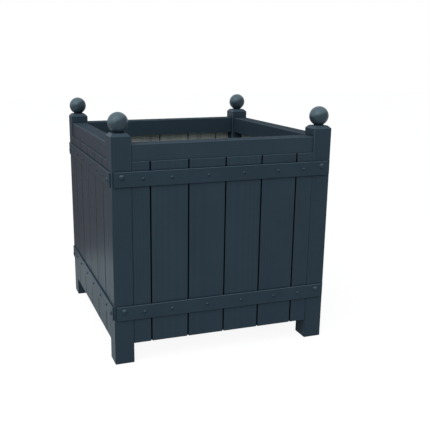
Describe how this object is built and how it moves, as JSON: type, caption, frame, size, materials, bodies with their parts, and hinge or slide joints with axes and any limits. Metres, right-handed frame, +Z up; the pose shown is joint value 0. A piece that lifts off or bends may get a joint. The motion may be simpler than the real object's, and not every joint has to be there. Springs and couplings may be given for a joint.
{
  "type": "square box planter",
  "caption": "Square painted timber box planter: morticed corner posts with ball finials, tongued boards, bolted flat-bar straps and a slatted floor.",
  "frame": {"origin": "centre of the footprint, on the ground under the feet", "axes": "+Z up; +X to the right along the front; +Y from the front to the back"},
  "size_m": [0.82, 0.82, 0.8667],
  "materials": {
    "painted_wood": "satin anthracite blue-grey exterior paint over planed softwood",
    "bare_wood": "bare pressure-treated softwood, sawn, weathered grey-green",
    "painted_iron": "satin anthracite paint over hot-rolled flat bar and domed fasteners",
    "zinc_steel": "bright zinc-plated steel, dulled"
  },
  "bodies": {
    "root": {"front_left_post": "painted_wood", "front_right_post": "painted_wood", "back_right_post": "painted_wood", "back_left_post": "painted_wood", "front_left_finial": "painted_wood", "front_right_finial": "painted_wood", "back_right_finial": "painted_wood", "back_left_finial": "painted_wood", "front_top_rail": "painted_wood", "right_top_rail": "painted_wood", "back_top_rail": "painted_wood", "left_top_rail": "painted_wood", "front_bottom_rail": "bare_wood", "right_bottom_rail": "bare_wood", "back_bottom_rail": "bare_wood", "left_bottom_rail": "bare_wood", "middle_bearer": "bare_wood", "front_board_1": "painted_wood", "front_board_2": "painted_wood", "front_board_3": "painted_wood", "front_board_4": "painted_wood", "front_board_5": "painted_wood", "front_board_6": "painted_wood", "right_board_1": "painted_wood", "right_board_2": "painted_wood", "right_board_3": "painted_wood", "right_board_4": "painted_wood", "right_board_5": "painted_wood", "right_board_6": "painted_wood", "back_board_1": "painted_wood", "back_board_2": "painted_wood", "back_board_3": "painted_wood", "back_board_4": "painted_wood", "back_board_5": "painted_wood", "back_board_6": "painted_wood", "left_board_1": "painted_wood", "left_board_2": "painted_wood", "left_board_3": "painted_wood", "left_board_4": "painted_wood", "left_board_5": "painted_wood", "left_board_6": "painted_wood", "front_upper_strap": "painted_iron", "front_lower_strap": "painted_iron", "right_upper_strap": "painted_iron", "right_lower_strap": "painted_iron", "back_upper_strap": "painted_iron", "back_lower_strap": "painted_iron", "left_upper_strap": "painted_iron", "left_lower_strap": "painted_iron", "floor_slat_1": "bare_wood", "floor_slat_2": "bare_wood", "floor_slat_3": "bare_wood", "floor_slat_4": "bare_wood", "floor_slat_5": "bare_wood", "coach_bolts": "painted_iron", "strap_screws": "painted_iron", "bolt_washers": "zinc_steel", "bolt_nuts": "zinc_steel", "floor_screws": "zinc_steel", "finial_screws": "zinc_steel"}
  },
  "joints": []
}
